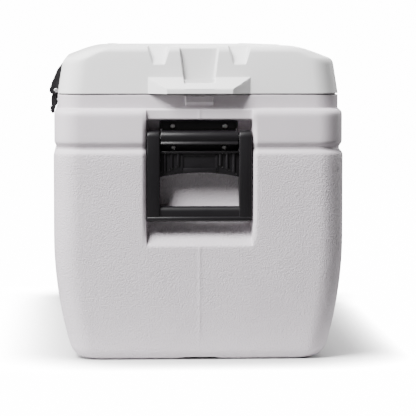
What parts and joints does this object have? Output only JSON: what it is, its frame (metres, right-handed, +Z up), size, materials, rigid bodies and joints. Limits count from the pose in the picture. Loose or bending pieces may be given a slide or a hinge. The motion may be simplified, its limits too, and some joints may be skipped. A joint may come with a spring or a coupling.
{
  "type": "wheeled ice chest",
  "caption": "Large insulated ice chest with hinged lid, front latches, swinging end handles, wheels at one end and a drain.",
  "frame": {"origin": "on the floor under the middle of the chest", "axes": "+Z up, +X towards the end without wheels, -Y towards the latches, +Y towards the hinges"},
  "size_m": [1.094, 0.488, 0.517],
  "materials": {
    "white_plastic": "satin",
    "liner_plastic": "satin",
    "foam": "matte",
    "black_plastic": "satin",
    "steel": "satin",
    "wheel_plastic": "satin",
    "tyre_rubber": "matte",
    "seal_rubber": "matte"
  },
  "bodies": {
    "tub": {"body_shell": "white_plastic", "body_liner": "liner_plastic", "body_insulation": "foam", "handle_bracket_near": "black_plastic", "handle_bracket_far": "black_plastic", "handle_rod_near": "steel", "handle_rod_far": "steel", "handle_screws_near": "steel", "handle_screws_far": "steel", "latch_keepers": "black_plastic", "latch_keeper_screws": "steel", "hinge_body_leaves": "steel", "hinge_pins": "steel", "hinge_body_screws": "steel", "axle": "steel", "axle_washers": "steel", "axle_caps": "steel", "drain_spout": "white_plastic", "drain_washer": "seal_rubber", "drain_nut": "white_plastic"},
    "lid": {"lid_shell": "white_plastic", "lid_liner": "liner_plastic", "lid_insulation": "foam", "latch_mount_left": "black_plastic", "latch_mount_right": "black_plastic", "latch_pin_left": "steel", "latch_pin_right": "steel", "latch_lid_screws": "steel", "hinge_lid_leaves": "steel", "hinge_lid_screws": "steel"},
    "handle_near": {"handle_bail_near": "black_plastic"},
    "handle_far": {"handle_bail_far": "black_plastic"},
    "strap_left": {"latch_strap_left": "black_plastic"},
    "strap_right": {"latch_strap_right": "black_plastic"},
    "wheel_front": {"wheel_rim_front": "wheel_plastic", "tyre_front": "tyre_rubber", "hub_cap_front": "black_plastic"},
    "wheel_back": {"wheel_rim_back": "wheel_plastic", "tyre_back": "tyre_rubber", "hub_cap_back": "black_plastic"},
    "drain_plug": {"drain_cap": "white_plastic"}
  },
  "joints": [
    {"name": "lid_hinge", "type": "hinge", "parent": "tub", "child": "lid", "pos_m": [0, 0.2322, 0.434], "axis": [-1, 0, 0], "range_deg": [0, 100]},
    {"name": "handle_near_swing", "type": "hinge", "parent": "tub", "child": "handle_near", "pos_m": [0.526, 0, 0.3647], "axis": [0, -1, 0], "range_deg": [0, 100]},
    {"name": "handle_far_swing", "type": "hinge", "parent": "tub", "child": "handle_far", "pos_m": [-0.526, 0, 0.3647], "axis": [0, 1, 0], "range_deg": [0, 100]},
    {"name": "latch_left_lift", "type": "hinge", "parent": "lid", "child": "strap_left", "pos_m": [-0.26, -0.235, 0.4358], "axis": [-1, 0, 0], "range_deg": [0, 110]},
    {"name": "latch_right_lift", "type": "hinge", "parent": "lid", "child": "strap_right", "pos_m": [0.26, -0.235, 0.4358], "axis": [-1, 0, 0], "range_deg": [0, 110]},
    {"name": "wheel_front_spin", "type": "hinge", "parent": "tub", "child": "wheel_front", "pos_m": [-0.46, -0.2, 0.075], "axis": [0, 1, 0], "continuous": true},
    {"name": "wheel_back_spin", "type": "hinge", "parent": "tub", "child": "wheel_back", "pos_m": [-0.46, 0.2, 0.075], "axis": [0, 1, 0], "continuous": true},
    {"name": "drain_cap_turn", "type": "hinge", "parent": "tub", "child": "drain_plug", "pos_m": [-0.3, 0.21, 0.064], "axis": [0, 1, 0], "continuous": true}
  ]
}
